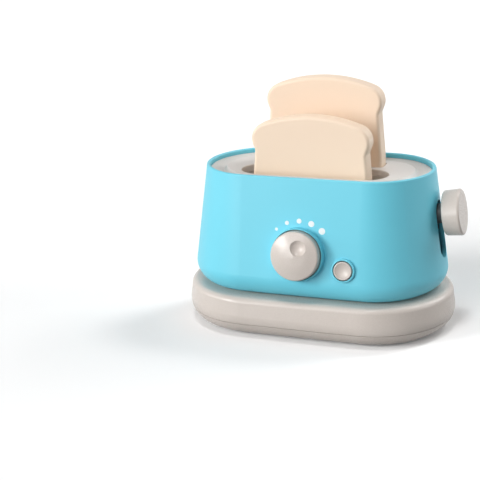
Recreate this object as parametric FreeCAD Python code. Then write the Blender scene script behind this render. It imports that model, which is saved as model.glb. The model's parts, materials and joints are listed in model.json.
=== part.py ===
"""Toy pop-up toaster with two toy bread slices, as an assembly of separate pieces.

Frame: origin on the table under the middle of the toaster, +Z up, +X towards the lever, -Y towards
the dial. Millimetres. Every piece goes to parts/NAME.step at its place in the assembly.
"""
import FreeCAD, Part
import math
import os

V = FreeCAD.Vector
Z_AXIS = V(0, 0, 1)

# ---------------------------------------------------------------- driving dimensions (mm, degrees)
END_ROOM = 20.5              # from a guide rod out to the end of the shell's rim
BODY_HALF_DEPTH = 43.4       # shell rim, along Y
RIM_Z = 110.0                # top of the shell
DRAFT = 7.7                  # lean of the shell and plinth walls
END_ARC = 1.055              # end arc radius over half depth
CORNER_ARC = 0.83            # corner arc radius over half depth
SHELL_Z = 29.1               # underside of the shell
SHELL_WALL = 2.6
SHELL_FOOT_R = 12.7          # rounding at the foot of the shell
SHELL_FLANGE = 8.0          # how far the shell's foot flange reaches inwards
PLINTH_STEP = 1.6            # plinth wall stands out of the shell's wall line
PLINTH_TOP_Z = 28.8
PLINTH_BOTTOM_Z = 1.5
PLINTH_FOOT_R = 13.2
PLINTH_SHOULDER_R = 3.9
PLINTH_WALL = 2.4
PLATFORM_T = 2.9             # top plate of the plinth
COVER_T = 2.2                # floor of the bottom cover
COVER_LIP = 1.6              # lip of the bottom cover inside the plinth
PARTING_Z = 10.8             # joint between plinth and bottom cover
DECK_DROP = 2.9              # deck edge below the rim
DECK_DISH = 2.2              # fall of the deck's border
DECK_BORDER = 11.6           # width of the border, from the rim line
DECK_STEP = 2.6              # island above the bottom of the border
DECK_WALL = 2.0
DECK_SKIRT = 9.0
FIT_GAP = 0.3                # between pieces that only sit beside each other
RUN_GAP = 0.08               # radial, shaft in bush

SLICE_HALF_WIDTH = 40.5      # at the flanks
SLICE_NECK = 2.5             # the notches under the lobes lie this far inside the flanks
SLICE_LOBE = 3.2             # the lobes stand this far outside the flanks
SLICE_NOTCH_Z = 59.6
SLICE_LOBE_Z = 73.7
SLICE_CROWN_Z = 89.0         # where the two slopes of the crown would meet
SLICE_LOBE_R = 11.0
SLICE_CROWN_R = 95.0
SLICE_THICK = 13.8
SLICE_EDGE_R = 2.2
FRONT_SLICE_Y = -17.1        # centre planes of the slices
REAR_SLICE_Y = 15.7
FRONT_SLICE_Z = 62.9         # underside of the front slice with the lever up
REAR_SLICE_LIFT = 20.8       # rear rest above the front rest

FRONT_SLOT_END = 9.8         # room past the slice's flank in the front opening
FRONT_SLOT_R = 15.6          # half the width of the front opening
FRONT_SLOT_Y = -12.8
REAR_SLOT_GAP = 0.5          # rear opening round the slice
WELL_WALL = 1.5
WELL_BOTTOM_Z = 64.0

STROKE = 22.0                # carriage travel, straight down
ROD_ROOM = 1.0               # between a carriage bush and the front well
ROD_R = 2.0
BUSH_R = 5.2
PLATE_Z = 57.0               # underside of the carriage plate, lever up
PLATE_T = 3.0

DIAL_Z = 61.0
DIAL_R = 16.4
DIAL_EDGE = 10.0             # height of the dial's side out of the wall
DIAL_CROWN = 3.0             # rise of its face from the edge to the middle
DIAL_ANGLE = 28.0            # turn of the thumb dimple from upright
DIMPLE_R = 5.5
DIMPLE_REACH = 7.2           # middle of the dimple from the dial's axis
DIMPLE_DEPTH = 2.7
BEZEL_GAP = 0.4
BEZEL_WALL = 0.7
BEZEL_HEIGHT = 5.4
BUTTON_X = 30.4
BUTTON_Z = 52.6
BUTTON_R = 6.1
BUTTON_GAP = 0.7
BUTTON_COLLAR_WALL = 1.1
BUTTON_TRAVEL = 3.0
LEVER_Z = 80.8
KNOB_R = 15.5
KNOB_LENGTH = 11.8
KNOB_GAP = 3.6
NECK_R = 6.6
LEVER_SLOT_HALF = 8.5        # half width of the lever slot
LEVER_SLOT_TOP = 89.9
LEVER_SLOT_BOTTOM = 51.0

SLOPE = math.tan(math.radians(DRAFT))
FRONT_SLOT_HALF = SLICE_HALF_WIDTH + FRONT_SLOT_END
ROD_X = FRONT_SLOT_HALF + WELL_WALL + ROD_ROOM + BUSH_R
BODY_HALF_LENGTH = ROD_X + END_ROOM          # shell rim, along X
BUTTON_COLLAR_R = BUTTON_R + BUTTON_GAP + BUTTON_COLLAR_WALL


# ---------------------------------------------------------------- outline and section helpers
def outline_arcs(half_length, half_depth):
    """Centres, radii and angles of the eight tangent arcs of the oval, anticlockwise."""
    end_r = END_ARC * half_depth
    corner_r = CORNER_ARC * half_depth
    turn = math.pi / 4
    end_x = half_length - end_r
    cx = end_x + (end_r - corner_r) * math.cos(turn)
    cy = (end_r - corner_r) * math.sin(turn)
    side_r = (corner_r ** 2 - cx ** 2 - (cy - half_depth) ** 2) / (2 * (cy - half_depth + corner_r))
    side_y = half_depth - side_r
    side = math.atan2(cy - side_y, cx)
    pi = math.pi
    return [
        (end_x, 0.0, end_r, -turn, turn),
        (cx, cy, corner_r, turn, side),
        (0.0, side_y, side_r, side, pi - side),
        (-cx, cy, corner_r, pi - side, pi - turn),
        (-end_x, 0.0, end_r, pi - turn, pi + turn),
        (-cx, -cy, corner_r, pi + turn, pi + side),
        (0.0, -side_y, side_r, pi + side, 2 * pi - side),
        (cx, -cy, corner_r, 2 * pi - side, 2 * pi - turn),
    ]


ARCS = outline_arcs(BODY_HALF_LENGTH, BODY_HALF_DEPTH)


def outline_wire(offset, z):
    """Closed wire of the oval, grown by offset, at height z."""
    edges = []
    for cx, cy, radius, start, end in ARCS:
        circle = Part.Circle(V(cx, cy, z), Z_AXIS, radius + offset)
        edges.append(Part.Arc(circle, start, end).toShape())
    return Part.Wire(edges)


def rounded_edges(points, closed):
    """Edges through (x, y, radius) points in the XZ plane, each corner rounded by its radius."""
    count = len(points)
    at = [V(x, 0, z) for x, z, _ in points]
    starts, ends, arcs = [], [], []
    for i, (_, _, radius) in enumerate(points):
        corner = at[i]
        inner = closed or 0 < i < count - 1
        if radius <= 0 or not inner:
            starts.append(corner)
            ends.append(corner)
            arcs.append(None)
            continue
        back = (at[i - 1] - corner).normalize()
        ahead = (at[(i + 1) % count] - corner).normalize()
        half = back.getAngle(ahead) / 2
        reach = radius / math.tan(half)
        middle = (back + ahead).normalize()
        centre = corner + middle * (radius / math.sin(half))
        starts.append(corner + back * reach)
        ends.append(corner + ahead * reach)
        arcs.append(centre - middle * radius)
    edges = []
    for i in range(count):
        if arcs[i] is not None:
            edges.append(Part.Arc(starts[i], arcs[i], ends[i]).toShape())
        if i == count - 1 and not closed:
            break
        after = starts[(i + 1) % count]
        if (after - ends[i]).Length > 1e-6:
            edges.append(Part.makeLine(ends[i], after))
    return edges


def sewn_solid(faces):
    """One closed solid from faces that share their borders."""
    skin = Part.makeCompound(faces)
    skin.sewShape()
    solid = Part.Solid(skin.Shells[0])
    if solid.Volume < 0:
        solid.reverse()
    return solid


def round_body(points, closed=False):
    """Solid whose section (offset from the oval, height, corner radius) runs all round the oval.

    A closed section gives a ring. An open one runs from the floor to the top, with flat lids.
    """
    section = Part.Wire(rounded_edges(points, closed))
    faces = []
    for cx, cy, radius, start, end in ARCS:
        local = section.copy()
        local.translate(V(radius, 0, 0))
        local.rotate(V(0, 0, 0), Z_AXIS, math.degrees(start))
        local.translate(V(cx, cy, 0))
        faces += local.revolve(V(cx, cy, 0), Z_AXIS, math.degrees(end - start)).Faces
    if not closed:
        faces.append(Part.Face(outline_wire(points[0][0], points[0][1])))
        faces.append(Part.Face(outline_wire(points[-1][0], points[-1][1])))
    return sewn_solid(faces)


def wall_offset(z):
    """Offset of the shell's outer wall from the rim line at height z."""
    return (RIM_Z - z) * SLOPE


def turned(points):
    """Solid of revolution about Z from (radius, height, corner radius) points on the axis side."""
    face = Part.Face(Part.Wire(rounded_edges(points, True)))
    return face.revolve(V(0, 0, 0), Z_AXIS, 360)


def cylinder(radius, z_low, z_high, x=0.0, y=0.0):
    return Part.makeCylinder(radius, z_high - z_low, V(x, y, z_low))


def box(x_low, x_high, y_low, y_high, z_low, z_high):
    return Part.makeBox(x_high - x_low, y_high - y_low, z_high - z_low, V(x_low, y_low, z_low))


def fused(shapes):
    """One clean solid from pieces that overlap."""
    whole = shapes[0]
    for shape in shapes[1:]:
        whole = whole.fuse(shape)
    return whole.removeSplitter()


def stadium(half_length, radius, z_low, z_high, y):
    """Upright prism with round ends."""
    straight = half_length - radius
    prism = box(-straight, straight, y - radius, y + radius, z_low, z_high)
    ends = [cylinder(radius, z_low, z_high, side * straight, y) for side in (-1, 1)]
    return fused([prism] + ends)


def rounded_block(x_low, x_high, y_low, y_high, z_low, z_high, radius):
    """Block with its four upright edges rounded."""
    block = box(x_low, x_high, y_low, y_high, z_low, z_high)
    upright = [e for e in block.Edges if abs(e.tangentAt(e.FirstParameter).z) > 0.99]
    return block.makeFillet(radius, upright)


def front_frame(x, z):
    """Placement on the front wall: local X along X, Y up the wall, Z out of the wall."""
    tilt = FreeCAD.Rotation(V(1, 0, 0), 90 - DRAFT)
    return FreeCAD.Placement(V(x, front_wall_y(x, z), z), tilt)


def front_wall_y(x, z):
    """Outer face of the front wall at x, z."""
    offset = wall_offset(z)
    for cx, cy, radius, start, end in ARCS[5:]:
        low, high = sorted((cx + radius * math.cos(start), cx + radius * math.cos(end)))
        if low <= x <= high:
            return cy - math.sqrt((radius + offset) ** 2 - (x - cx) ** 2)
    return 0.0


def end_frame(z):
    """Placement on the lever's end wall: local Z out of the wall, local Y up the wall."""
    rotation = FreeCAD.Rotation(V(0, 1, 0), V(-SLOPE, 0, 1), V(1, 0, SLOPE), "ZYX")
    return FreeCAD.Placement(V(BODY_HALF_LENGTH + wall_offset(z), 0, z), rotation)


def placed(shape, placement):
    moved = shape.copy()
    moved.Placement = placement.multiply(moved.Placement)
    return moved


# ---------------------------------------------------------------- shared places and sizes
WALL_RUN = SHELL_WALL / math.cos(math.radians(DRAFT))     # shell wall measured level
DECK_Z = RIM_Z - DECK_DROP
ISLAND_Z = DECK_Z - DECK_DISH + DECK_STEP
DECK_UNDER_Z = DECK_Z - DECK_DISH - DECK_WALL
PLATE_UNDER_Z = PLINTH_TOP_Z - PLATFORM_T     # underside of the plinth's top plate
FRAME_T = 2.5
FRAME_Z = DECK_UNDER_Z - FRAME_T - 3.5    # underside of the well frame
ROD_TOP_Z = FRAME_Z - 2.0
SCREW_R = 1.25
PILOT_R = 1.3
CLEAR_R = 1.7
HEAD_R = 2.9
HEAD_H = 1.8
SPRING_SEAT_Z = 23.5
BUSH_TOP_Z = 66.0
BUMPER_H = 2.0
LUG_T = 3.5
LUG_Z = DECK_Z - DECK_SKIRT - LUG_T - 2.5
BRACKET_TOP = -4.7 - BUTTON_TRAVEL - 2.3     # bracket's front face, behind the pressed button and its spring
BRACKET_T = 1.6


def corner_points(inset):
    """The four points on the corner arcs' middle rays, inset from the rim line."""
    radius = CORNER_ARC * BODY_HALF_DEPTH - inset
    cx, cy = ARCS[1][0], ARCS[1][1]
    x = cx + radius * math.cos(math.pi / 4)
    y = cy + radius * math.sin(math.pi / 4)
    return [(sx * x, sy * y) for sx in (-1, 1) for sy in (-1, 1)]


SHELL_BOSSES = corner_points(5.6)
DECK_LUGS = corner_points(8.5)
COVER_POSTS = corner_points(20.0) + [(0.0, BODY_HALF_DEPTH - 7.0), (0.0, 7.0 - BODY_HALF_DEPTH)]
FOOT_PLACES = corner_points(8.0)
LEG_R = 3.0
LEG_REACH = FRONT_SLOT_R + WELL_WALL + LEG_R + 0.9
LEG_FRONT_X = FRONT_SLOT_HALF - FRONT_SLOT_R + LEG_REACH * math.cos(math.radians(60))
LEG_FRONT_Y = FRONT_SLOT_Y - LEG_REACH * math.sin(math.radians(60))
LEG_REAR_Y = REAR_SLICE_Y + SLICE_THICK / 2 + REAR_SLOT_GAP + WELL_WALL + LEG_R + 0.9
LEG_PAIR = ((LEG_FRONT_X, LEG_FRONT_Y), (SLICE_HALF_WIDTH, LEG_REAR_Y))
LEGS = [(side * x, y) for side in (-1, 1) for x, y in LEG_PAIR]
RODS = [(-ROD_X, 0.0), (ROD_X, 0.0)]
REAR_SLOT = (
    -SLICE_HALF_WIDTH - REAR_SLOT_GAP, SLICE_HALF_WIDTH + REAR_SLOT_GAP,
    REAR_SLICE_Y - SLICE_THICK / 2 - REAR_SLOT_GAP, REAR_SLICE_Y + SLICE_THICK / 2 + REAR_SLOT_GAP,
)
REAR_SLOT_R = SLICE_EDGE_R + REAR_SLOT_GAP


def screw(x, y, head_low, tip, radius=SCREW_R):
    """Pan-head screw driven upwards: head from head_low, shank up to tip."""
    head = turned([(0, 0, 0), (HEAD_R * 0.7, 0, 0), (HEAD_R, HEAD_H * 0.5, 0.5), (HEAD_R, HEAD_H, 0),
                   (radius, HEAD_H, 0), (radius, tip - head_low - 1.5, 0), (0.3, tip - head_low, 0),
                   (0, tip - head_low, 0)])
    driver = fused([box(-1.5, 1.5, -0.35, 0.35, -0.1, 0.8), box(-0.35, 0.35, -1.5, 1.5, -0.1, 0.8)])
    made = head.cut(driver)
    made.translate(V(x, y, head_low))
    return made


# ---------------------------------------------------------------- casing
def outer_shell():
    foot = wall_offset(SHELL_Z)
    inner_foot = wall_offset(SHELL_Z + SHELL_WALL) - WALL_RUN
    shell = round_body([
        (0, RIM_Z, 1.0), (foot, SHELL_Z, SHELL_FOOT_R), (-SHELL_FLANGE, SHELL_Z, 0),
        (-SHELL_FLANGE, SHELL_Z + SHELL_WALL, 0),
        (inner_foot, SHELL_Z + SHELL_WALL, SHELL_FOOT_R - SHELL_WALL), (-WALL_RUN, RIM_Z, 1.0),
    ], closed=True)
    additions = []
    for x, y in SHELL_BOSSES:
        additions.append(cylinder(4.2, SHELL_Z, SHELL_Z + 15, x, y))
    wall = wall_offset(LUG_Z)
    trim = round_body([(wall - 1.0, LUG_Z - 1, 0), (wall - 1.6, LUG_Z + LUG_T + 1, 0)])
    for x, y in DECK_LUGS:
        arm = box(0, 12, -4.6, 4.6, LUG_Z, LUG_Z + LUG_T)
        arm.rotate(V(0, 0, 0), Z_AXIS, math.degrees(math.atan2(y, x)) if abs(x) < 1 else
                   math.degrees(math.atan2(math.copysign(1, y), math.copysign(1, x))))
        arm.translate(V(x, y, 0))
        additions.append(fused([arm, cylinder(4.6, LUG_Z, LUG_Z + LUG_T, x, y)]).common(trim))
    dial = front_frame(0, DIAL_Z)
    button = front_frame(BUTTON_X, BUTTON_Z)
    end = end_frame(LEVER_Z)
    additions.append(placed(cylinder(DIAL_R + BEZEL_GAP + BEZEL_WALL + 0.4, -2.0, 0.3), dial))
    collar = turned([(0, -2.4, 0), (BUTTON_COLLAR_R, -2.4, 0), (BUTTON_COLLAR_R, 1.9, 0.8), (0, 1.9, 0)])
    additions.append(placed(collar, button))
    for side in (-1, 1):
        additions.append(placed(cylinder(3.2, BRACKET_TOP, -1.6, side * 11.5, 0), button))
        rib = box(min(side * 11.6, side * 13.4), max(side * 11.6, side * 13.4), -34, 13, -8, -2.5)
        additions.append(placed(rib, end))
    shell = fused([shell] + additions)
    cuts = [placed(cylinder(4.0 + RUN_GAP, -6, 2), dial)]
    cuts.append(placed(cylinder(BUTTON_R + BUTTON_GAP, -6, 4), button))
    for side in (-1, 1):
        cuts.append(placed(cylinder(PILOT_R, BRACKET_TOP - 1, -3.0, side * 11.5, 0), button))
    for x, y in SHELL_BOSSES:
        cuts.append(cylinder(PILOT_R, SHELL_Z - 1, SHELL_Z + 13, x, y))
    for x, y in DECK_LUGS:
        cuts.append(cylinder(CLEAR_R, LUG_Z - 1, LUG_Z + LUG_T + 1, x, y))
    cuts.append(placed(lever_slot_cutter(), end))
    for cutter in cuts:
        shell = shell.cut(cutter)
    return shell


def lever_slot_cutter():
    """Upright stadium through the end wall, in the end wall's own frame."""
    lean = math.cos(math.radians(DRAFT))
    top = (LEVER_SLOT_TOP - LEVER_Z) / lean - LEVER_SLOT_HALF
    bottom = (LEVER_SLOT_BOTTOM - LEVER_Z) / lean + LEVER_SLOT_HALF
    middle = box(-LEVER_SLOT_HALF, LEVER_SLOT_HALF, bottom, top, -7, 4)
    ends = [cylinder(LEVER_SLOT_HALF, -7, 4, 0, y) for y in (bottom, top)]
    return fused([middle] + ends)


def top_deck():
    def edge(z):
        return wall_offset(z) - WALL_RUN - FIT_GAP

    low = DECK_Z - DECK_SKIRT
    deck = round_body([
        (edge(low), low, 0), (edge(DECK_Z), DECK_Z, 0.7), (-DECK_BORDER, DECK_Z - DECK_DISH, 1.2),
        (-DECK_BORDER - 2.2, ISLAND_Z, 0.7), (-DECK_BORDER - 4.0, ISLAND_Z, 0),
    ])
    hollow = round_body([
        (edge(low) - DECK_WALL, low - 1, 0), (edge(DECK_Z) - DECK_WALL, DECK_Z - DECK_WALL, 1.0),
        (-DECK_BORDER, DECK_UNDER_Z, 0), (-DECK_BORDER - 4.0, DECK_UNDER_Z, 0),
    ])
    deck = deck.cut(hollow)
    posts = [cylinder(3.4, LUG_Z + LUG_T, DECK_Z - DECK_WALL, x, y) for x, y in DECK_LUGS]
    deck = fused([deck] + posts)
    for x, y in DECK_LUGS:
        deck = deck.cut(cylinder(PILOT_R, LUG_Z, DECK_Z - DECK_WALL - 2, x, y))
    front = stadium(FRONT_SLOT_HALF, FRONT_SLOT_R, DECK_UNDER_Z - 1, ISLAND_Z + 1, FRONT_SLOT_Y)
    rear = rounded_block(*REAR_SLOT, DECK_UNDER_Z - 1, ISLAND_Z + 1, REAR_SLOT_R)
    deck = deck.cut(front).cut(rear)
    lips = [e for e in deck.Edges if flat_at(e, ISLAND_Z) and inside_island(e)]
    return deck.makeFillet(0.7, lips)


def flat_at(edge, z):
    bounds = edge.BoundBox
    return abs(bounds.ZMin - z) < 1e-4 and abs(bounds.ZMax - z) < 1e-4


def inside_island(edge):
    """True for the edges of the two bread openings."""
    bounds = edge.BoundBox
    reach = FRONT_SLOT_HALF + 0.01
    return max(abs(bounds.XMin), abs(bounds.XMax)) < reach and abs(bounds.YMin) < 30 and abs(bounds.YMax) < 30


def base_form():
    """Outer form of plinth and bottom cover together."""
    def wall(z):
        return wall_offset(z) + PLINTH_STEP

    return round_body([
        (-20, PLINTH_BOTTOM_Z, 0), (wall(PLINTH_BOTTOM_Z), PLINTH_BOTTOM_Z, PLINTH_FOOT_R),
        (wall(PLINTH_TOP_Z), PLINTH_TOP_Z, PLINTH_SHOULDER_R), (-20, PLINTH_TOP_Z, 0),
    ])


def base_cavity(gap=0.0):
    """Room inside plinth and bottom cover, less a gap all round."""
    def wall(z):
        return wall_offset(z) + PLINTH_STEP - PLINTH_WALL - gap

    floor = PLINTH_BOTTOM_Z + COVER_T
    return round_body([
        (-20, floor, 0), (wall(floor), floor, PLINTH_FOOT_R - PLINTH_WALL - gap),
        (wall(PLATE_UNDER_Z), PLATE_UNDER_Z, 2.0), (-20, PLATE_UNDER_Z, 0),
    ])


def level_slice(shape, z_low, z_high):
    """Part of a shape between two heights."""
    reach = BODY_HALF_LENGTH + 60
    return shape.common(box(-reach, reach, -reach, reach, z_low, z_high))


def plinth():
    body = level_slice(base_form(), PARTING_Z + 0.15, PLINTH_TOP_Z + 1).cut(base_cavity())
    parts = [body]
    parts += [cylinder(3.6, 8.0, PLATE_UNDER_Z + 1, x, y) for x, y in COVER_POSTS]
    parts += [cylinder(7.0, 12.0, PLATE_UNDER_Z + 1, x, y) for x, y in RODS]
    parts.append(cylinder(3.2, 17.0, PLATE_UNDER_Z + 1, CATCH_SCREW[0], CATCH_SCREW[1]))
    parts += [rib for rib in plinth_ribs()]
    body = fused(parts)
    cuts = [cylinder(PILOT_R, 7.0, 21.0, x, y) for x, y in COVER_POSTS]
    cuts += [cylinder(ROD_R + 0.02, 14.0, 30.0, x, y) for x, y in RODS]
    cuts += [cylinder(5.3, SPRING_SEAT_Z, 30.0, x, y) for x, y in RODS]
    cuts += [cylinder(CLEAR_R, 20.0, 30.0, x, y) for x, y in SHELL_BOSSES + LEGS]
    cuts.append(cylinder(PILOT_R, 18.5, 30.0, CATCH_SCREW[0], CATCH_SCREW[1]))
    for cutter in cuts:
        body = body.cut(cutter)
    return body


def plinth_ribs():
    """Stiffening ribs under the plinth's plate."""
    ribs = []
    for x in (-30, 30):
        ribs.append(box(x - 0.8, x + 0.8, -52, 52, 18.0, PLATE_UNDER_Z + 0.5))
    ribs.append(box(-55, 55, -0.8, 0.8, 18.0, PLATE_UNDER_Z + 0.5))
    return ribs


def bottom_cover():
    body = level_slice(base_form(), PLINTH_BOTTOM_Z - 1, PARTING_Z - 0.15).cut(base_cavity())
    inner = base_cavity(FIT_GAP + COVER_LIP)
    root = level_slice(base_cavity(-0.5).cut(inner), PARTING_Z - 3.0, PARTING_Z - 0.5)
    lip = level_slice(base_cavity(FIT_GAP).cut(inner), PARTING_Z - 1.0, PARTING_Z + 2.5)
    floor = PLINTH_BOTTOM_Z + COVER_T
    parts = [body, root, lip]
    parts += [cylinder(5.0, floor - 1, 7.85, x, y) for x, y in COVER_POSTS]
    body = fused(parts)
    for x, y in COVER_POSTS:
        body = body.cut(cylinder(CLEAR_R, 0, 9, x, y)).cut(cylinder(HEAD_R + 0.4, 0, 5.2, x, y))
    for x, y in FOOT_PLACES:
        body = body.cut(cylinder(7.2, 0, PLINTH_BOTTOM_Z + 0.8, x, y))
    return body


def foot_pads():
    pads = []
    for x, y in FOOT_PLACES:
        pad = turned([(0, 0, 0), (6.6, 0, 0.6), (7.0, 1.2, 0.3), (7.0, PLINTH_BOTTOM_Z + 0.8, 0),
                      (0, PLINTH_BOTTOM_Z + 0.8, 0)])
        pad.translate(V(x, y, 0))
        pads.append(pad)
    return Part.makeCompound(pads)


# ---------------------------------------------------------------- bread and its guides
def bread_slice(y, z):
    lobe = SLICE_HALF_WIDTH + SLICE_LOBE
    rise = SLICE_CROWN_Z - SLICE_LOBE_Z
    crown_r = min(SLICE_CROWN_R, 0.72 * math.hypot(lobe, rise) * lobe / rise)
    half = [
        (SLICE_HALF_WIDTH - 0.2, 0, 6), (SLICE_HALF_WIDTH, SLICE_NOTCH_Z / 2, 60),
        (SLICE_HALF_WIDTH - SLICE_NECK, SLICE_NOTCH_Z, 4), (lobe, SLICE_LOBE_Z, SLICE_LOBE_R),
    ]
    mirror = [(-x, height, radius) for x, height, radius in reversed(half)]
    outline = rounded_edges(half + [(0, SLICE_CROWN_Z, crown_r)] + mirror, True)
    slab = Part.Face(Part.Wire(outline)).extrude(V(0, SLICE_THICK, 0))
    rims = [e for e in slab.Edges if e.BoundBox.YLength < 1e-4]
    slab = slab.makeFillet(SLICE_EDGE_R, rims)
    slab.translate(V(0, y - SLICE_THICK / 2, z))
    return slab


def front_well():
    low, high = WELL_BOTTOM_Z, DECK_UNDER_Z - FIT_GAP
    tube = stadium(FRONT_SLOT_HALF + WELL_WALL, FRONT_SLOT_R + WELL_WALL, low, high, FRONT_SLOT_Y)
    seat = stadium(FRONT_SLOT_HALF + 3.5, FRONT_SLOT_R + 3.5, FRAME_Z + FRAME_T, FRAME_Z + FRAME_T + 1.6,
                   FRONT_SLOT_Y)
    seat = seat.common(box(-70, 70, -60, WELL_SPLIT_Y - 0.15, FRAME_Z, high))
    bore = stadium(FRONT_SLOT_HALF, FRONT_SLOT_R, low - 1, high + 1, FRONT_SLOT_Y)
    return fused([tube, seat]).cut(bore)


def rear_well():
    low, high = WELL_BOTTOM_Z, DECK_UNDER_Z - FIT_GAP
    x0, x1, y0, y1 = REAR_SLOT
    wall = WELL_WALL
    tube = rounded_block(x0 - wall, x1 + wall, y0 - wall, y1 + wall, low, high, REAR_SLOT_R + wall)
    seat = rounded_block(x0 - 3.5, x1 + 3.5, y0 - 3.5, y1 + 3.5, FRAME_Z + FRAME_T, FRAME_Z + FRAME_T + 1.6,
                         REAR_SLOT_R + 3.5)
    seat = seat.common(box(-70, 70, WELL_SPLIT_Y + 0.15, 60, FRAME_Z, high))
    bore = rounded_block(x0, x1, y0, y1, low - 1, high + 1, REAR_SLOT_R)
    return fused([tube, seat]).cut(bore)


FRONT_WELL_BACK = FRONT_SLOT_Y + FRONT_SLOT_R + WELL_WALL
REAR_WELL_FRONT = REAR_SLOT[2] - WELL_WALL
WELL_SPLIT_Y = (FRONT_WELL_BACK + REAR_WELL_FRONT) / 2


def well_frame():
    """Frame that carries the wells, stands on four legs and steadies the rods."""
    top = FRAME_Z + FRAME_T
    rim = WELL_WALL + 4.0
    parts = [stadium(FRONT_SLOT_HALF + rim, FRONT_SLOT_R + rim, FRAME_Z, top, FRONT_SLOT_Y)]
    rear_half = SLICE_HALF_WIDTH + REAR_SLOT_GAP + rim
    parts.append(rounded_block(-rear_half, rear_half, FRONT_SLOT_Y, LEG_REAR_Y + LEG_R + 1.5, FRAME_Z, top, 5))
    parts.append(rounded_block(-ROD_X - 6, ROD_X + 6, -6, 6, FRAME_Z, top, 4))
    parts += [cylinder(LEG_R + 1.5, FRAME_Z, top, x, y) for x, y in LEGS]
    parts += [cylinder(LEG_R, PLINTH_TOP_Z, FRAME_Z + 1, x, y) for x, y in LEGS]
    parts += [cylinder(4.6, BUSH_TOP_Z + BUMPER_H, FRAME_Z + 1, x, y) for x, y in RODS]
    frame = fused(parts)
    gap = 0.15
    frame = frame.cut(stadium(FRONT_SLOT_HALF + WELL_WALL + gap, FRONT_SLOT_R + WELL_WALL + gap,
                              FRAME_Z - 1, top + 1, FRONT_SLOT_Y))
    x0, x1, y0, y1 = REAR_SLOT
    wall = WELL_WALL + gap
    frame = frame.cut(rounded_block(x0 - wall, x1 + wall, y0 - wall, y1 + wall, FRAME_Z - 1, top + 1,
                                    REAR_SLOT_R + wall))
    for x, y in LEGS:
        frame = frame.cut(cylinder(PILOT_R, PLINTH_TOP_Z - 1, PLINTH_TOP_Z + 12, x, y))
    for x, y in RODS:
        frame = frame.cut(cylinder(ROD_R + 0.02, 60, ROD_TOP_Z, x, y))
    return frame


def guide_rod(x):
    rod = turned([(0, 14.0, 0), (ROD_R, 14.0, 0.4), (ROD_R, ROD_TOP_Z - 0.2, 0.4), (0, ROD_TOP_Z - 0.2, 0)])
    rod.translate(V(x, 0, 0))
    return rod


def coil_spring(radius, wire, low, high, turns):
    pitch = (high - low - wire * 2) / turns
    path = Part.makeHelix(pitch, high - low - wire * 2, radius)
    ring = Part.Wire([Part.Circle(V(radius, 0, 0), V(0, 1, 0), wire).toShape()])
    spring = Part.Wire(path.Edges).makePipeShell([ring], True, True)
    spring.translate(V(0, 0, low + wire))
    return spring


def pop_up_spring(x):
    spring = coil_spring(3.6, 0.4, SPRING_SEAT_Z + 0.05, PLATE_Z - 2.05, 6)
    spring.translate(V(x, 0, 0))
    return spring


def stop_bumpers():
    rings = []
    for x, _ in RODS:
        ring = turned([(ROD_R + 0.02, BUSH_TOP_Z, 0), (4.8, BUSH_TOP_Z, 0.5),
                       (4.8, BUSH_TOP_Z + BUMPER_H, 0), (ROD_R + 0.02, BUSH_TOP_Z + BUMPER_H, 0)])
        ring.translate(V(x, 0, 0))
        rings.append(ring)
    return Part.makeCompound(rings)


# ---------------------------------------------------------------- carriage and lever
def carriage():
    plate_top = PLATE_Z + PLATE_T
    half = SLICE_THICK / 2
    rear_rest_z = FRONT_SLICE_Z + REAR_SLICE_LIFT
    parts = [rounded_block(-38, 38, FRONT_SLICE_Y - half, REAR_SLICE_Y + half, PLATE_Z, plate_top, 4)]
    parts.append(box(-ROD_X, FORK_BACK_X + 4, -5, 5, PLATE_Z, plate_top))
    parts += [cylinder(BUSH_R, PLATE_Z - 2, BUSH_TOP_Z, x, y) for x, y in RODS]
    for y, top in ((FRONT_SLICE_Y, FRONT_SLICE_Z), (REAR_SLICE_Y, rear_rest_z)):
        parts.append(rounded_block(-REST_HALF, REST_HALF, y - 4.5, y + 4.5, PLATE_Z, top, 2))
    parts.append(box(FORK_BACK_X, FORK_TIP_X, -1.9, 1.9, PLATE_Z, FORK_Z + 6.0))
    parts.append(box(FORK_BACK_X, FORK_BACK_X + 3, -4.0, 4.0, PLATE_Z, FORK_Z + 6.0))
    parts.append(box(15, 20, BAR_FRONT_Y, FRONT_SLICE_Y, PLATE_Z, plate_top + 0.5))
    parts.append(box(15, 27.5, BAR_FRONT_Y, BAR_BACK_Y, PLATE_Z, plate_top + 0.5))
    body = fused(parts)
    for side in (-1, 1):
        low, high = sorted((side * 1.2, side * (REST_HALF - 1.6)))
        for y, top in ((FRONT_SLICE_Y, FRONT_SLICE_Z), (REAR_SLICE_Y, rear_rest_z)):
            body = body.cut(box(low, high, y - 2.9, y + 2.9, PLATE_Z - 1, top - 2))
        window = rounded_block(min(side * 6, side * 33), max(side * 6, side * 33), -7, 7,
                               PLATE_Z - 1, plate_top + 1, 3)
        body = body.cut(window)
    for x, y in RODS:
        body = body.cut(cylinder(ROD_R + RUN_GAP, PLATE_Z - 5, BUSH_TOP_Z + 1, x, y))
    slot = box(PIN_PLACE.x - PIN_R - 0.4, FORK_TIP_X + 1, -3, 3, FORK_Z - PIN_R - 0.15, FORK_Z + PIN_R + 0.15)
    return body.cut(slot)


REST_HALF = SLICE_HALF_WIDTH - 4.5        # half length of the bread rests
PIN_R = 1.9
PIN_DEPTH = 12.0             # lever pin behind the outer face of the end wall
PIN_PLACE = end_frame(LEVER_Z).multVec(V(0, 0, -PIN_DEPTH))
FORK_Z = PIN_PLACE.z
FORK_TIP_X = PIN_PLACE.x + 4.2
FORK_BACK_X = ROD_X + BUSH_R + 1.0
CATCH_Y = FRONT_SLOT_Y - FRONT_SLOT_R - WELL_WALL - 3.5     # front face of the sprung catch
BAR_BACK_Y = CATCH_Y - 0.5
BAR_FRONT_Y = BAR_BACK_Y - 2.6
CATCH_SCREW = (28.5, CATCH_Y + 6.0)


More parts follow.
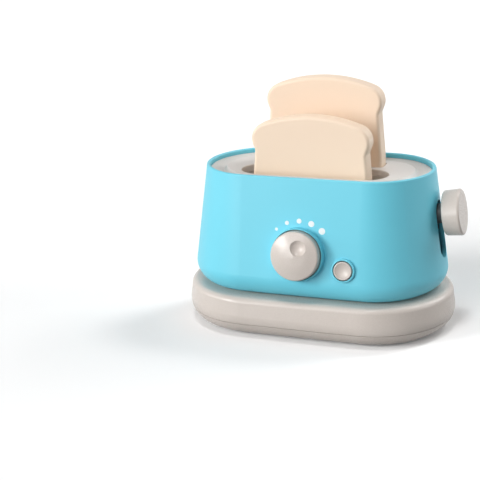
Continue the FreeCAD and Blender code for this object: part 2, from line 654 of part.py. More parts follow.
def lever_slider():
    """Plate behind the wall, neck through the slot, spigot for the knob and cheeks for the pin."""
    plate = rounded_block(-11, 11, -13, 10, -6.0, -4.4, 2.5)
    neck = cylinder(NECK_R, -5.0, KNOB_GAP)
    spigot = cylinder(4.0, KNOB_GAP - 1, KNOB_GAP + 8)
    parts = [plate, neck, spigot]
    for side in (-1, 1):
        low, high = sorted((side * 2.2, side * 4.2))
        parts.append(box(low, high, -3.6, 3.6, -PIN_DEPTH - 2.2, -5.0))
    body = fused(parts)
    pin_hole = Part.makeCylinder(PIN_R + 0.02, 12, V(-6, 0, -PIN_DEPTH), V(1, 0, 0))
    return placed(body.cut(pin_hole), end_frame(LEVER_Z))


def lever_pin():
    pin = Part.makeCylinder(PIN_R, 8.6, V(-4.3, 0, -PIN_DEPTH), V(1, 0, 0))
    return placed(pin, end_frame(LEVER_Z))


def lever_knob():
    far = KNOB_GAP + KNOB_LENGTH
    knob = turned([
        (4.02, KNOB_GAP, 0), (KNOB_R - 0.6, KNOB_GAP, 1.2), (KNOB_R, far, 1.6), (0, far, 0),
        (0, KNOB_GAP + 8.3, 0), (4.02, KNOB_GAP + 8.3, 0),
    ])
    return placed(knob, end_frame(LEVER_Z))


# ---------------------------------------------------------------- dial, button and catch
def browning_dial():
    crown = DIAL_EDGE + DIAL_CROWN
    dial = turned([
        (0, -5.2, 0), (4.0, -5.2, 0.3), (4.0, 1.9, 0), (DIAL_R, 1.9, 0.4), (DIAL_R - 0.3, DIAL_EDGE, 1.6),
        (DIAL_R / 2, crown - 0.7, 20), (0, crown, 0),
    ])
    inner = DIAL_R - 2.0
    recess = turned([(6.0, 1.0, 0), (inner, 1.0, 0), (inner - 0.2, DIAL_EDGE - 2.2, 1.0),
                     (6.0, crown - 4.5, 1.0)])
    turn = math.radians(DIAL_ANGLE)
    ball = (DIMPLE_R ** 2 + DIMPLE_DEPTH ** 2) / (2 * DIMPLE_DEPTH)
    face = crown - 0.6
    dent = Part.makeSphere(ball, V(DIMPLE_REACH * math.sin(turn), DIMPLE_REACH * math.cos(turn),
                                   face - DIMPLE_DEPTH + ball))
    bore = cylinder(PILOT_R, -6, 3.5)
    return placed(dial.cut(recess).cut(dent).cut(bore), front_frame(0, DIAL_Z))


def dial_bezel():
    outer = DIAL_R + BEZEL_GAP + BEZEL_WALL
    bezel = turned([
        (4.3, 0.3, 0), (outer + 0.2, 0.3, 0), (outer, BEZEL_HEIGHT, 0.4),
        (outer - BEZEL_WALL, BEZEL_HEIGHT, 0.3), (outer - BEZEL_WALL, 1.5, 0), (4.3, 1.5, 0),
    ])
    return placed(bezel, front_frame(0, DIAL_Z))


def friction_washer():
    washer = turned([(4.15, -3.3, 0), (7.4, -2.65, 0), (7.4, -3.0, 0), (4.15, -3.65, 0)])
    return placed(washer, front_frame(0, DIAL_Z))


def dial_retainer():
    disc = turned([(CLEAR_R, -5.25, 0), (CLEAR_R, -6.8, 0), (7.6, -6.8, 0.4), (7.6, -3.7, 0), (4.1, -3.7, 0),
                   (4.1, -5.25, 0)])
    return placed(disc, front_frame(0, DIAL_Z))


def dial_screw():
    return placed(screw(0, 0, -6.85 - HEAD_H, 2.5), front_frame(0, DIAL_Z))


STEM_TIP = (front_wall_y(BUTTON_X, BUTTON_Z) - CATCH_Y + 1.0) / math.cos(math.radians(DRAFT))


def cancel_button():
    button = turned([
        (0, STEM_TIP, 0), (2.6, STEM_TIP, 0.5), (2.6, -4.7, 0), (8.2, -4.7, 0), (8.2, -3.2, 0.3),
        (BUTTON_R, -3.2, 0), (BUTTON_R, 2.4, 0.6), (0, 2.4, 0),
    ])
    dish = Part.makeSphere(9.0, V(0, 0, 2.4 + 7.3))
    return placed(button.cut(dish), front_frame(BUTTON_X, BUTTON_Z))


def button_spring():
    return placed(coil_spring(4.0, 0.3, BRACKET_TOP + 0.05, -4.75, 2.5), front_frame(BUTTON_X, BUTTON_Z))


def control_bracket():
    low = BRACKET_TOP - BRACKET_T
    plate = rounded_block(-15.5, 15.5, -6.5, 6.5, low, BRACKET_TOP, 3)
    guide = cylinder(4.0, low - 1.6, low + 0.6)
    body = fused([plate, guide])
    for x in (-11.5, 11.5):
        body = body.cut(cylinder(CLEAR_R, low - 1.4, BRACKET_TOP + 1, x, 0))
    body = body.cut(cylinder(2.6 + RUN_GAP, low - 4.4, BRACKET_TOP + 1))
    return placed(body, front_frame(BUTTON_X, BUTTON_Z))


def bracket_screws():
    pair = [screw(x, 0, BRACKET_TOP - BRACKET_T - HEAD_H, -3.6) for x in (-11.5, 11.5)]
    return placed(Part.makeCompound(pair), front_frame(BUTTON_X, BUTTON_Z))


def snap_catch():
    """Upright finger with a hook on its front; the button's stem bends it back."""
    y = CATCH_Y
    nose_z = PLATE_Z + PLATE_T + 0.5 - STROKE + 0.3
    base = PLINTH_TOP_Z
    section = Part.makePolygon([
        V(0, y, base), V(0, y, 54), V(0, y + 1.6, 54), V(0, y + 1.6, base + 2.2), V(0, y + 10.5, base + 2.2),
        V(0, y + 10.5, base), V(0, y, base),
    ])
    finger = Part.Face(section).extrude(V(13.0, 0, 0))
    finger.translate(V(22.0, 0, 0))
    hook = Part.makePolygon([
        V(0, y + 0.5, nose_z), V(0, y - 2.2, nose_z), V(0, y - 2.2, nose_z + 0.8), V(0, y + 0.5, nose_z + 5.0),
        V(0, y + 0.5, nose_z),
    ])
    nose = Part.Face(hook).extrude(V(5.3, 0, 0))
    nose.translate(V(22.0, 0, 0))
    body = fused([finger, nose])
    return body.cut(cylinder(CLEAR_R, base - 1, base + 4, *CATCH_SCREW))


def catch_screw():
    made = screw(0, 0, 0, 9.5)
    made.rotate(V(0, 0, 0), V(1, 0, 0), 180)
    made.translate(V(CATCH_SCREW[0], CATCH_SCREW[1], PLINTH_TOP_Z + 2.25 + HEAD_H))
    return made


# ---------------------------------------------------------------- screws from below
def shell_screws():
    low = PLATE_UNDER_Z - HEAD_H
    return Part.makeCompound([screw(x, y, low, SHELL_Z + 10) for x, y in SHELL_BOSSES])


def frame_screws():
    low = PLATE_UNDER_Z - HEAD_H
    return Part.makeCompound([screw(x, y, low, PLINTH_TOP_Z + 10) for x, y in LEGS])


def cover_screws():
    return Part.makeCompound([screw(x, y, 5.2 - HEAD_H, 19) for x, y in COVER_POSTS])


def deck_screws():
    return Part.makeCompound([screw(x, y, LUG_Z - HEAD_H, LUG_Z + 9) for x, y in DECK_LUGS])


PIECES = {
    "outer_shell": outer_shell,
    "top_deck": top_deck,
    "plinth": plinth,
    "bottom_cover": bottom_cover,
    "foot_pads": foot_pads,
    "front_well": front_well,
    "rear_well": rear_well,
    "well_frame": well_frame,
    "guide_rod_left": lambda: guide_rod(-ROD_X),
    "guide_rod_right": lambda: guide_rod(ROD_X),
    "pop_up_spring_left": lambda: pop_up_spring(-ROD_X),
    "pop_up_spring_right": lambda: pop_up_spring(ROD_X),
    "stop_bumpers": stop_bumpers,
    "carriage": carriage,
    "bread_slice_front": lambda: bread_slice(FRONT_SLICE_Y, FRONT_SLICE_Z),
    "bread_slice_rear": lambda: bread_slice(REAR_SLICE_Y, FRONT_SLICE_Z + REAR_SLICE_LIFT),
    "lever_slider": lever_slider,
    "lever_pin": lever_pin,
    "lever_knob": lever_knob,
    "browning_dial": browning_dial,
    "dial_bezel": dial_bezel,
    "friction_washer": friction_washer,
    "dial_retainer": dial_retainer,
    "dial_screw": dial_screw,
    "cancel_button": cancel_button,
    "button_spring": button_spring,
    "control_bracket": control_bracket,
    "bracket_screws": bracket_screws,
    "snap_catch": snap_catch,
    "catch_screw": catch_screw,
    "shell_screws": shell_screws,
    "frame_screws": frame_screws,
    "cover_screws": cover_screws,
    "deck_screws": deck_screws,
}


def main():
    os.makedirs("parts", exist_ok=True)
    for name, make in PIECES.items():
        shape = make()
        shape.exportStep("parts/" + name + ".step")
        print(name, len(shape.Solids), "solid(s)", round(shape.Volume), "mm3", shape.isValid())


main()
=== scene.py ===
"""Toy toaster: studio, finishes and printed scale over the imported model."""

import json
import logging
import math
from dataclasses import dataclass, field
from enum import Enum
from typing import Any

import bmesh
import bpy
from mathutils import Matrix, Vector

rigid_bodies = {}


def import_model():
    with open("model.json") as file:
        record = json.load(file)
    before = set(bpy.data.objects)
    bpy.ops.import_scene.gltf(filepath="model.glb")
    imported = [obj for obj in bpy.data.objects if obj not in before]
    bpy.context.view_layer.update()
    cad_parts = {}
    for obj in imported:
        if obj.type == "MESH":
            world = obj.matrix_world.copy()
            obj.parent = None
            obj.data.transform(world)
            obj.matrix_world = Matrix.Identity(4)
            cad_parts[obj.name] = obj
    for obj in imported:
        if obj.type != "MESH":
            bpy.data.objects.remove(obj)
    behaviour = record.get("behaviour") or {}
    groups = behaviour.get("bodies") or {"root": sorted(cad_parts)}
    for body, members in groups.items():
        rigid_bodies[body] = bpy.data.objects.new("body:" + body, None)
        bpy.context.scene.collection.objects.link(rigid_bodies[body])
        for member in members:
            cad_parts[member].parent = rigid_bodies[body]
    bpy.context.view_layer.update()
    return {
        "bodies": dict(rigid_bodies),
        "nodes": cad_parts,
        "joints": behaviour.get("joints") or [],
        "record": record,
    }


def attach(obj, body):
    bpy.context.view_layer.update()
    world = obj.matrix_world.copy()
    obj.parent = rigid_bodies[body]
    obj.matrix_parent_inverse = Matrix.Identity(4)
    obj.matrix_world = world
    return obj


log = logging.getLogger("toy_toaster")

MM = 0.001
WHITE = (1.0, 1.0, 1.0, 1.0)


# ---------------------------------------------------------------- colour and node helpers
def linear(hex_colour: str) -> tuple[float, float, float, float]:
    """Turn an sRGB hex colour to linear RGBA.

    Args:
        hex_colour: six hex digits, with or without a leading hash.

    Returns:
        Linear red, green, blue and an alpha of 1.
    """
    digits = hex_colour.lstrip("#")
    channels = [int(digits[i:i + 2], 16) / 255 for i in (0, 2, 4)]
    made = [c / 12.92 if c <= 0.04045 else ((c + 0.055) / 1.055) ** 2.4 for c in channels]
    return made[0], made[1], made[2], 1.0


def add_node(tree: bpy.types.NodeTree, kind: str, settings: dict[Any, Any] | None = None,
             links: dict[Any, bpy.types.NodeSocket] | None = None) -> bpy.types.Node:
    """Add one node with its settings and its incoming links.

    Args:
        tree: node tree that takes the node.
        kind: Blender's node type name.
        settings: socket name or index, or attribute name, to value.
        links: socket name or index to the output socket that feeds it.

    Returns:
        The new node.
    """
    node = tree.nodes.new(kind)
    for key, value in (settings or {}).items():
        if isinstance(key, str) and hasattr(node, key):
            setattr(node, key, value)
        else:
            node.inputs[key].default_value = value
    for key, socket in (links or {}).items():
        tree.links.new(socket, node.inputs[key])
    return node


def blank_material(name: str) -> bpy.types.Material:
    """Make a node material with an empty tree.

    Args:
        name: material name.

    Returns:
        The material.
    """
    made = bpy.data.materials.new(name)
    made.use_nodes = True
    made.node_tree.nodes.clear()
    return made


def seen_directly(tree: bpy.types.NodeTree) -> bpy.types.NodeSocket:
    """Tell camera, mirror and see-through rays from those that only bring light.

    Args:
        tree: node tree that takes the nodes.

    Returns:
        A socket that is 1 for a ray that shows a surface to the eye.
    """
    path = add_node(tree, "ShaderNodeLightPath")
    first = add_node(tree, "ShaderNodeMath", {"operation": "MAXIMUM"},
                     {0: path.outputs["Is Camera Ray"], 1: path.outputs["Is Glossy Ray"]})
    both = add_node(tree, "ShaderNodeMath", {"operation": "MAXIMUM"},
                    {0: first.outputs["Value"], 1: path.outputs["Is Transmission Ray"]})
    return both.outputs["Value"]


def per_mm(size_mm: float) -> float:
    """Texture scale, in cycles per metre, of a pattern whose repeat is size_mm."""
    return 1.0 / (size_mm * MM)


# ---------------------------------------------------------------- finishes
class Tooling(Enum):
    """How the steel tool of a moulding was finished."""

    SPARKED = "spark-eroded"
    SATIN = "satin-blasted"
    POLISHED = "polished"


@dataclass(frozen=True)
class MouldedPlastic:
    """Injection-moulded plastic with its tool's grain and slight flow clouding.

    Args:
        name: the material's common name.
        colour: main colour, sRGB hex.
        shade: colour of the clouds, sRGB hex.
        roughness: middle of the roughness that the grain spreads.
        tooling: finish of the tool.
        grain_mm: repeat of the grain. Real grain is near 0.05 mm, too fine to show, so it is drawn
            as coarse as it needs to show.
        grain_height_mm: height of the grain.
        ior: index of refraction.
        cloud_mm: size of the clouds.
        gloss_spread: how far the grain takes the roughness each way.
    """

    name: str
    colour: str
    shade: str
    roughness: float
    tooling: Tooling
    grain_mm: float
    grain_height_mm: float
    ior: float = 1.53
    cloud_mm: float = 30.0
    gloss_spread: float = 0.05

    def material(self) -> bpy.types.Material:
        """Build the node material.

        Returns:
            The finished material.
        """
        made = blank_material(self.name)
        tree = made.node_tree
        place = add_node(tree, "ShaderNodeTexCoord")
        # Slow clouding from the resin's flow: barely seen, but it breaks the flat colour.
        cloud = add_node(tree, "ShaderNodeTexNoise",
                         {"Scale": per_mm(self.cloud_mm), "Detail": 3.0, "Roughness": 0.55},
                         {"Vector": place.outputs["Object"]})
        tint = add_node(tree, "ShaderNodeMix",
                        {"data_type": "RGBA", 6: linear(self.colour), 7: linear(self.shade)},
                        {0: cloud.outputs["Fac"]})
        # The tool's grain gives the soft, broken highlight of a moulding. The noise lies mostly
        # between 0.3 and 0.7, so that span is what the roughness follows.
        grain = add_node(tree, "ShaderNodeTexNoise",
                         {"Scale": per_mm(self.grain_mm), "Detail": 2.0, "Roughness": 0.6},
                         {"Vector": place.outputs["Object"]})
        gloss = add_node(tree, "ShaderNodeMapRange",
                         {"From Min": 0.3, "From Max": 0.7,
                          "To Min": self.roughness - self.gloss_spread,
                          "To Max": self.roughness + self.gloss_spread},
                         {"Value": grain.outputs["Fac"]})
        bump = add_node(tree, "ShaderNodeBump",
                        {"Strength": 0.5, "Distance": self.grain_height_mm * MM},
                        {"Height": grain.outputs["Fac"]})
        shader = add_node(tree, "ShaderNodeBsdfPrincipled", {"IOR": self.ior},
                          {"Base Color": tint.outputs[2], "Roughness": gloss.outputs["Result"],
                           "Normal": bump.outputs["Normal"]})
        add_node(tree, "ShaderNodeOutputMaterial", None, {"Surface": shader.outputs["BSDF"]})
        log.info("%s: %s tool, grain %.2f mm", self.name, self.tooling.value, self.grain_mm)
        return made


@dataclass(frozen=True)
class DrawnSteel:
    """Drawn or rolled steel with fine lines along its length and a slight tarnish.

    Args:
        name: the material's common name.
        colour: bright colour, sRGB hex.
        roughness: roughness that the lines vary.
        tarnish: colour of the tarnish, sRGB hex.
        line_mm: repeat of the draw lines across the wire. Real lines are near 0.02 mm, too fine to
            show, so they are drawn as coarse as they need to show.
        line_height_mm: height of the lines.
        tarnish_mm: size of the tarnish's patches.
        along: stretch of the lines, by axis.
        brighter: how far a line takes the roughness down.
        duller: how far a line takes the roughness up.
    """

    name: str
    colour: str
    roughness: float
    tarnish: str = "8F8E8C"
    line_mm: float = 0.25
    line_height_mm: float = 0.02
    tarnish_mm: float = 9.0
    along: tuple[float, float, float] = (1.0, 1.0, 0.05)
    brighter: float = 0.08
    duller: float = 0.10

    def material(self) -> bpy.types.Material:
        """Build the node material.

        Returns:
            The finished material.
        """
        made = blank_material(self.name)
        tree = made.node_tree
        place = add_node(tree, "ShaderNodeTexCoord")
        stretch = add_node(tree, "ShaderNodeMapping", {"Scale": self.along},
                           {"Vector": place.outputs["Object"]})
        # Draw lines along the wire or rod stretch each highlight lengthwise.
        lines = add_node(tree, "ShaderNodeTexNoise", {"Scale": per_mm(self.line_mm), "Detail": 3.0},
                         {"Vector": stretch.outputs["Vector"]})
        patches = add_node(tree, "ShaderNodeTexNoise",
                           {"Scale": per_mm(self.tarnish_mm), "Detail": 4.0},
                           {"Vector": place.outputs["Object"]})
        tint = add_node(tree, "ShaderNodeMix",
                        {"data_type": "RGBA", 6: linear(self.colour), 7: linear(self.tarnish)},
                        {0: patches.outputs["Fac"]})
        gloss = add_node(tree, "ShaderNodeMapRange",
                         {"To Min": self.roughness - self.brighter,
                          "To Max": self.roughness + self.duller},
                         {"Value": lines.outputs["Fac"]})
        bump = add_node(tree, "ShaderNodeBump",
                        {"Strength": 0.3, "Distance": self.line_height_mm * MM},
                        {"Height": lines.outputs["Fac"]})
        shader = add_node(tree, "ShaderNodeBsdfPrincipled", {"Metallic": 1.0},
                          {"Base Color": tint.outputs[2], "Roughness": gloss.outputs["Result"],
                           "Normal": bump.outputs["Normal"]})
        add_node(tree, "ShaderNodeOutputMaterial", None, {"Surface": shader.outputs["BSDF"]})
        log.info("%s: draw lines %.2f mm", self.name, self.line_mm)
        return made


class Finish(Enum):
    """Every finish on the toy, one per maker's material."""

    # Clear light turquoise with a wide, soft highlight that follows the oval.
    SHELL = MouldedPlastic("turquoise moulded ABS", "72D5EA", "6ED1E6", 0.42,
                           Tooling.SPARKED, 0.45, 0.012)
    # Warm grey with a tighter sheen, which draws the bright line along the base's shoulder.
    TRIM = MouldedPlastic("warm grey moulded ABS", "D4CAC2", "D0C6BE", 0.27,
                          Tooling.SATIN, 0.40, 0.010)
    # Slick dark grey that reads as a gap between knob and shell: painted shade, as dark as the shadow
    # that the neck sits in.
    NECK_PAINTED_SHADE = MouldedPlastic("acetal in dark grey painted shade", "3E4648", "3A4244", 0.40,
                          Tooling.SATIN, 0.40, 0.010)
    # Pale ivory with a satin sheen, near white where the light falls on it.
    DECK = MouldedPlastic("ivory moulded ABS", "D9D5D1", "D6D1CC", 0.36,
                          Tooling.SATIN, 0.40, 0.010)
    # Soft peach, almost matt, so a slice looks dry and baked.
    TOAST = MouldedPlastic("peach moulded polyethylene", "F8E1C9", "F6DEC6", 0.50,
                           Tooling.SPARKED, 0.6, 0.015, ior=1.51)
    # Undyed off-white of the works inside, dull beside the shell.
    NATURAL = MouldedPlastic("natural moulded ABS", "C9C6C0", "C3BFB8", 0.45,
                             Tooling.SATIN, 0.5, 0.010)
    # Near-black and matt, with hardly a highlight.
    RUBBER = MouldedPlastic("dark moulded rubber", "3A3A3B", "333334", 0.75,
                            Tooling.SPARKED, 0.5, 0.03, ior=1.52)
    # Flat, faintly cool white that stands off the turquoise.
    INK = MouldedPlastic("white pad-print ink", "F4F8F8", "F0F5F5", 0.5,
                         Tooling.POLISHED, 0.3, 0.004, ior=1.48)
    # Pale silver with a lengthwise streak of light.
    STEEL = DrawnSteel("zinc-plated drawn steel", "C9CACB", 0.32)
    # Darker, slightly brown silver.
    SPRING = DrawnSteel("oil-tempered spring wire", "A8A6A2", 0.35)


Materials = dict[Finish, bpy.types.Material]


# ---------------------------------------------------------------- sub-assemblies
@dataclass
class SubAssembly:
    """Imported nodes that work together, with the finish that each one wears.

    Args:
        title: its name in the log.
        wears: finish to the names of the nodes in it.
    """

    title: str
    wears: dict[Finish, tuple[str, ...]]

    def dress(self, frame: dict[str, Any], materials: Materials) -> None:
        """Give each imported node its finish.

        Args:
            frame: the loaded frame.
            materials: finish to material.
        """
        for finish, names in self.wears.items():
            for name in names:
                data = frame["nodes"][name].data
                data.materials.clear()
                data.materials.append(materials[finish])
                log.info("%s, %s: %s", self.title, name, materials[finish].name)


@dataclass
class Housing(SubAssembly):
    """Shell, deck, base and feet."""

    title: str = "housing"
    wears: dict[Finish, tuple[str, ...]] = field(default_factory=lambda: {
        Finish.SHELL: ("outer_shell",),
        Finish.DECK: ("top_deck",),
        Finish.TRIM: ("plinth", "bottom_cover"),
        Finish.RUBBER: ("foot_pads",),
        Finish.STEEL: ("shell_screws", "cover_screws", "deck_screws"),
    })


@dataclass
class PopUp(SubAssembly):
    """Wells, carriage, rods, springs and catch."""

    title: str = "pop-up"
    wears: dict[Finish, tuple[str, ...]] = field(default_factory=lambda: {
        Finish.NATURAL: ("front_well", "rear_well", "well_frame", "carriage", "snap_catch"),
        Finish.STEEL: ("guide_rod_left", "guide_rod_right", "frame_screws", "catch_screw"),
        Finish.SPRING: ("pop_up_spring_left", "pop_up_spring_right"),
        Finish.RUBBER: ("stop_bumpers",),
    })


@dataclass
class Bread(SubAssembly):
    """The two slices."""

    title: str = "bread"
    wears: dict[Finish, tuple[str, ...]] = field(default_factory=lambda: {
        Finish.TOAST: ("bread_slice_front", "bread_slice_rear"),
    })


@dataclass
class Lever(SubAssembly):
    """Knob, its neck and the pin that ties it to the carriage."""

    title: str = "lever"
    wears: dict[Finish, tuple[str, ...]] = field(default_factory=lambda: {
        Finish.TRIM: ("lever_knob",),
        # The slider wears dark grey as painted shade for the gap it sits in.
        Finish.NECK_PAINTED_SHADE: ("lever_slider",),
        Finish.STEEL: ("lever_pin",),
    })


@dataclass
class CancelButton(SubAssembly):
    """Button with its bracket and spring."""

    title: str = "cancel button"
    wears: dict[Finish, tuple[str, ...]] = field(default_factory=lambda: {
        Finish.TRIM: ("cancel_button",),
        Finish.NATURAL: ("control_bracket",),
        Finish.SPRING: ("button_spring",),
        Finish.STEEL: ("bracket_screws",),
    })


@dataclass
class FrontWall:
    """The shell's front wall, sloped back from foot to rim.

    Args:
        half_depth: half the shell's depth at the rim, mm.
        rim_z: height of the rim, mm.
        draft_deg: lean of the wall from upright.
        side_radius: radius of the wall's plan curve at the rim, mm.
    """

    half_depth: float = 43.4
    rim_z: float = 110.0
    draft_deg: float = 7.7
    side_radius: float = 1695.1

    def point(self, x: float, z: float, proud: float) -> Vector:
        """Point on the wall's outer face.

        Args:
            x: distance from the middle, mm.
            z: height, mm.
            proud: distance out of the wall, mm.

        Returns:
            The point in metres.
        """
        tilt = math.radians(self.draft_deg)
        radius = self.side_radius + (self.rim_z - z) * math.tan(tilt)
        y = (self.side_radius - self.half_depth) - math.sqrt(radius ** 2 - x ** 2)
        return Vector((x, y - proud * math.cos(tilt), z + proud * math.sin(tilt))) * MM


@dataclass
class BrowningDial(SubAssembly):
    """Dial with its ring and works, under five printed dots that grow from light to dark toast.

    Args:
        wall: the wall that the dots are printed on.
        centre_x: the dots' ring's middle from the toy's middle, mm.
        centre_z: height of the dots' ring's middle, mm.
        ring_radius: radius of the dots' ring, mm.
        first_deg: turn of the first dot from upright.
        step_deg: turn from one dot to the next.
        dot_radii: radius of each dot, mm.
        dot_sides: points round a dot.
        dot_profile: each ring's share of the dot's radius and of the ink's height, edge first.
        ink_height: thickness of the ink, mm.
    """

    title: str = "browning dial"
    wears: dict[Finish, tuple[str, ...]] = field(default_factory=lambda: {
        Finish.TRIM: ("browning_dial",),
        Finish.SHELL: ("dial_bezel",),
        Finish.NATURAL: ("dial_retainer",),
        Finish.SPRING: ("friction_washer",),
        Finish.STEEL: ("dial_screw",),
    })
    wall: FrontWall = field(default_factory=FrontWall)
    centre_x: float = 0.4
    centre_z: float = 59.9
    ring_radius: float = 22.8
    first_deg: float = -43.9
    step_deg: float = 21.25
    dot_radii: tuple[float, ...] = (1.05, 1.4, 1.65, 2.0, 2.2)
    dot_sides: int = 36
    dot_profile: tuple[tuple[float, float], ...] = ((1.0, 0.1), (0.97, 0.8), (0.85, 1.0))
    ink_height: float = 0.05

    def print_scale(self, ink: bpy.types.Material) -> None:
        """Print every dot.

        Args:
            ink: the printing ink.
        """
        lean = math.cos(math.radians(self.wall.draft_deg))
        for index, radius in enumerate(self.dot_radii):
            angle = math.radians(self.first_deg + self.step_deg * index)
            x = self.centre_x + self.ring_radius * math.sin(angle)
            z = self.centre_z + self.ring_radius * math.cos(angle) * lean
            new_piece(f"scale_dot_{index + 1}", self.dot(x, z, radius, lean), ink)

    def dot(self, x: float, z: float, radius: float, lean: float) -> bmesh.types.BMesh:
        """Lay one dot on the wall as a thin film with a soft edge.

        Args:
            x: its middle from the toy's middle, mm.
            z: its height, mm.
            radius: its radius, mm.
            lean: the wall's height over its length.

        Returns:
            The dot's mesh.
        """
        mesh = bmesh.new()
        turns = [math.tau * k / self.dot_sides for k in range(self.dot_sides)]
        rings = []
        for width, height in self.dot_profile:
            reach, proud = radius * width, self.ink_height * height
            rings.append([mesh.verts.new(self.wall.point(
                x + reach * math.cos(turn), z + reach * math.sin(turn) * lean, proud))
                for turn in turns])
        centre = mesh.verts.new(self.wall.point(x, z, self.ink_height))
        for low, high in zip(rings, rings[1:]):
            for k in range(self.dot_sides):
                after = (k + 1) % self.dot_sides
                mesh.faces.new((low[k], low[after], high[after], high[k]))
        for k in range(self.dot_sides):
            mesh.faces.new((rings[-1][k], rings[-1][(k + 1) % self.dot_sides], centre))
        bmesh.ops.recalc_face_normals(mesh, faces=mesh.faces)
        return mesh


def new_piece(name: str, mesh: bmesh.types.BMesh, material: bpy.types.Material,
              body: str = "housing") -> None:
    """Turn a mesh into a smooth piece that rides on a body.

    Args:
        name: piece name.
        mesh: the geometry, which is freed.
        material: its finish.
        body: frame body that carries it.
    """
    data = bpy.data.meshes.new(name)
    mesh.to_mesh(data)
    mesh.free()
    for face in data.polygons:
        face.use_smooth = True
    data.materials.append(material)
    made = bpy.data.objects.new(name, data)
    bpy.context.scene.collection.objects.link(made)
    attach(made, body)
    log.info("%s: %d faces on %s", name, len(data.polygons), body)


# ---------------------------------------------------------------- studio
def towards(azimuth_deg: float, elevation_deg: float) -> Vector:
    """Direction from the toy to a place in the studio.

    Args:
        azimuth_deg: 0 in front and 90 at the lever's end.
        elevation_deg: height above the horizon.

    Returns:
        The unit vector.
    """
    azimuth, elevation = math.radians(azimuth_deg), math.radians(elevation_deg)
    return Vector((math.sin(azimuth) * math.cos(elevation),
                   -math.cos(azimuth) * math.cos(elevation), math.sin(elevation)))


@dataclass(frozen=True)
class Lamp:
    """One distant soft lamp.

    Args:
        name: lamp name.
        strength: irradiance in W/m2.
        azimuth_deg: where it stands, 0 in front and 90 at the lever's end.
        elevation_deg: height above the horizon.
        angle_deg: its apparent size, which softens its shadows.
    """

    name: str
    strength: float
    azimuth_deg: float
    elevation_deg: float
    angle_deg: float

    def hang(self) -> None:
        """Add the lamp to the scene."""
        data = bpy.data.lights.new(self.name, "SUN")
        data.energy = self.strength
        data.angle = math.radians(self.angle_deg)
        made = bpy.data.objects.new(self.name, data)
        place = towards(self.azimuth_deg, self.elevation_deg)
        made.rotation_mode = "QUATERNION"
        made.rotation_quaternion = place.to_track_quat("Z", "Y")
        made.location = place
        bpy.context.scene.collection.objects.link(made)


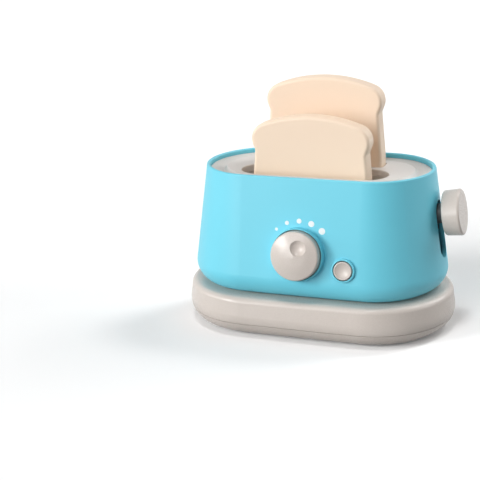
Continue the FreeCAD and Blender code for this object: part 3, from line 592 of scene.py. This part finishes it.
@dataclass
class Studio:
    """Pale floor, soft lamps and the camera.

    Args:
        azimuth_deg: the camera's place, 0 in front and 90 at the lever's end.
        elevation_deg: its height above the horizon.
        distance: from the aim point, m.
        aim_z: height of the aim point, m.
        pan_deg: turn of the view to the side of the aim point.
        tilt_deg: turn of the view above the aim point.
        roll_deg: turn about the line of sight.
        lens_mm: focal length on a frame of sensor_mm.
        sensor_mm: width of the camera's frame.
        floor_half: half the floor's side, m.
        floor_lift: how much of the floor's white shows by itself.
        floor_bounce: the floor's colour as it lights the toy, sRGB hex.
        fibre_mm: repeat of the paper's fibres.
        fibre_height_mm: height of the fibres.
        clip: nearest and farthest distance that the camera draws, m.
        lamps: every lamp.
    """

    azimuth_deg: float = 16.773
    elevation_deg: float = 16.64
    distance: float = 0.84628
    aim_z: float = 0.060
    pan_deg: float = 3.748
    tilt_deg: float = -0.231
    roll_deg: float = 0.549
    lens_mm: float = 92.167
    sensor_mm: float = 36.0
    floor_half: float = 3.0
    floor_lift: float = 0.08
    floor_bounce: str = "A8A8A8"
    fibre_mm: float = 2.0
    fibre_height_mm: float = 0.02
    clip: tuple[float, float] = (0.05, 50.0)
    lamps: tuple[Lamp, ...] = (
        Lamp("key", 1.28, -45.0, 20.0, 18.0),
        Lamp("front_low", 1.05, -30.0, 6.0, 25.0),
        Lamp("left_low", 0.52, -75.0, 12.0, 25.0),
        Lamp("front_mid", 0.56, -10.0, 32.0, 25.0),
        Lamp("front_high", 0.66, 5.0, 72.0, 10.0),
        Lamp("right", 0.48, 100.0, 20.0, 25.0),
        Lamp("back_right", 0.80, 135.0, 32.0, 25.0),
        Lamp("back_right_high", 0.80, 135.0, 55.0, 15.0),
    )

    def camera(self) -> None:
        """Place the camera and make it the scene's."""
        back = towards(self.azimuth_deg, self.elevation_deg)
        forward = -back
        right = forward.cross(Vector((0, 0, 1))).normalized()
        up = right.cross(forward)
        pan = Matrix.Rotation(math.radians(self.pan_deg), 3, up)
        forward, right = pan @ forward, pan @ right
        tilt = Matrix.Rotation(math.radians(self.tilt_deg), 3, right)
        forward, up = tilt @ forward, tilt @ up
        roll = Matrix.Rotation(math.radians(self.roll_deg), 3, forward)
        right, up = roll @ right, roll @ up
        data = bpy.data.cameras.new("camera")
        data.lens = self.lens_mm
        data.sensor_width = self.sensor_mm
        data.clip_start, data.clip_end = self.clip
        made = bpy.data.objects.new("camera", data)
        turn = Matrix((right, up, -forward)).transposed().to_4x4()
        aim = Vector((0, 0, self.aim_z))
        made.matrix_world = Matrix.Translation(aim + back * self.distance) @ turn
        bpy.context.scene.collection.objects.link(made)
        bpy.context.scene.camera = made

    def paper(self) -> bpy.types.Material:
        """Build the floor's finish: white to the eye, greyer in the light that it throws back.

        Returns:
            The finished material.
        """
        made = blank_material("white studio paper")
        tree = made.node_tree
        place = add_node(tree, "ShaderNodeTexCoord")
        # Faint fibres keep the paper from looking like a flat fill.
        fibre = add_node(tree, "ShaderNodeTexNoise",
                         {"Scale": per_mm(self.fibre_mm), "Detail": 3.0},
                         {"Vector": place.outputs["Object"]})
        bump = add_node(tree, "ShaderNodeBump",
                        {"Strength": 0.1, "Distance": self.fibre_height_mm * MM},
                        {"Height": fibre.outputs["Fac"]})
        seen = seen_directly(tree)
        colour = add_node(tree, "ShaderNodeMix",
                          {"data_type": "RGBA", 6: linear(self.floor_bounce), 7: WHITE}, {0: seen})
        diffuse = add_node(tree, "ShaderNodeBsdfDiffuse", {"Roughness": 0.5},
                           {"Color": colour.outputs[2], "Normal": bump.outputs["Normal"]})
        # A little of its white shows by itself to the eye alone, so the shadow on it stays pale.
        shown = add_node(tree, "ShaderNodeMath",
                         {"operation": "MULTIPLY", 1: self.floor_lift}, {0: seen})
        lift = add_node(tree, "ShaderNodeEmission", {"Color": WHITE},
                        {"Strength": shown.outputs["Value"]})
        both = add_node(tree, "ShaderNodeAddShader", None,
                        {0: diffuse.outputs["BSDF"], 1: lift.outputs["Emission"]})
        add_node(tree, "ShaderNodeOutputMaterial", None, {"Surface": both.outputs["Shader"]})
        return made

    def floor(self) -> None:
        """Lay the pale floor."""
        mesh = bmesh.new()
        bmesh.ops.create_grid(mesh, x_segments=1, y_segments=1, size=self.floor_half)
        data = bpy.data.meshes.new("studio_floor")
        mesh.to_mesh(data)
        mesh.free()
        data.materials.append(self.paper())
        made = bpy.data.objects.new("studio_floor", data)
        bpy.context.scene.collection.objects.link(made)

    def world(self) -> None:
        """Surround the toy with white that shows, also in reflections, but sheds no diffuse light."""
        world = bpy.data.worlds.new("studio")
        bpy.context.scene.world = world
        world.use_nodes = True
        tree = world.node_tree
        tree.nodes.clear()
        glow = add_node(tree, "ShaderNodeBackground", {"Color": WHITE},
                        {"Strength": seen_directly(tree)})
        add_node(tree, "ShaderNodeOutputWorld", None, {"Surface": glow.outputs["Background"]})

    def build(self) -> None:
        """Set up the whole studio."""
        self.camera()
        self.floor()
        self.world()
        for lamp in self.lamps:
            lamp.hang()
        bpy.context.scene.view_settings.view_transform = "Standard"
        log.info("studio ready, %d lamps", len(self.lamps))


def main() -> None:
    """Load the frame, set the studio, dress every sub-assembly and print the scale."""
    logging.basicConfig(level=logging.INFO, format="%(name)s: %(message)s")
    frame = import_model()
    materials = {finish: finish.value.material() for finish in Finish}
    Studio().build()
    dial = BrowningDial()
    for part in (Housing(), PopUp(), Bread(), Lever(), dial, CancelButton()):
        part.dress(frame, materials)
    dial.print_scale(materials[Finish.INK])


if __name__ == "__main__":
    main()
